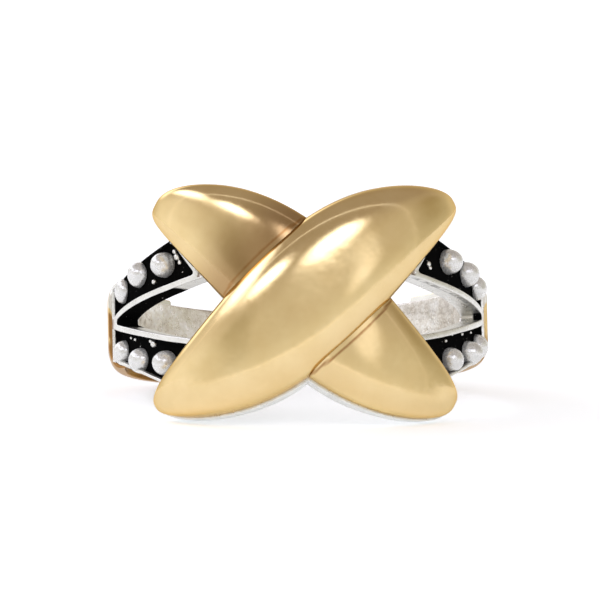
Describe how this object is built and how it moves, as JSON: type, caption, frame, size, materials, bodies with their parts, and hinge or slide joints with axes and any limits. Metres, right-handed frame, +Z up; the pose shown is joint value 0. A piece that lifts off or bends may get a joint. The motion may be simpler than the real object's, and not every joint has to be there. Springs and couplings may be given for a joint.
{
  "type": "crossover ring",
  "caption": "Two-tone finger ring with domed gold pods crossing in an X on a silver shank that splits into beaded, blackened channels, with gold collars at the sides.",
  "frame": {"origin": "centre of the bottom of the bounding box, on the table that the ring lies on", "axes": "-Y towards the crossing at the front, +X to the right as the crossing is seen, +Z up; the finger's axis leans 14 degrees from +Z towards the back"},
  "size_m": [0.0202, 0.0232, 0.0124],
  "materials": {
    "silver": "polished",
    "bead_silver": "satin",
    "gold": "polished"
  },
  "bodies": {
    "root": {"shank": "silver", "over_pod": "gold", "under_pod_left": "gold", "under_pod_right": "gold", "collar_left": "gold", "collar_right": "gold", "bead_left_upper_1": "bead_silver", "bead_left_upper_2": "bead_silver", "bead_left_upper_3": "bead_silver", "bead_left_lower_1": "bead_silver", "bead_left_lower_2": "bead_silver", "bead_left_lower_3": "bead_silver", "bead_right_upper_1": "bead_silver", "bead_right_upper_2": "bead_silver", "bead_right_upper_3": "bead_silver", "bead_right_lower_1": "bead_silver", "bead_right_lower_2": "bead_silver", "bead_right_lower_3": "bead_silver"}
  },
  "joints": []
}
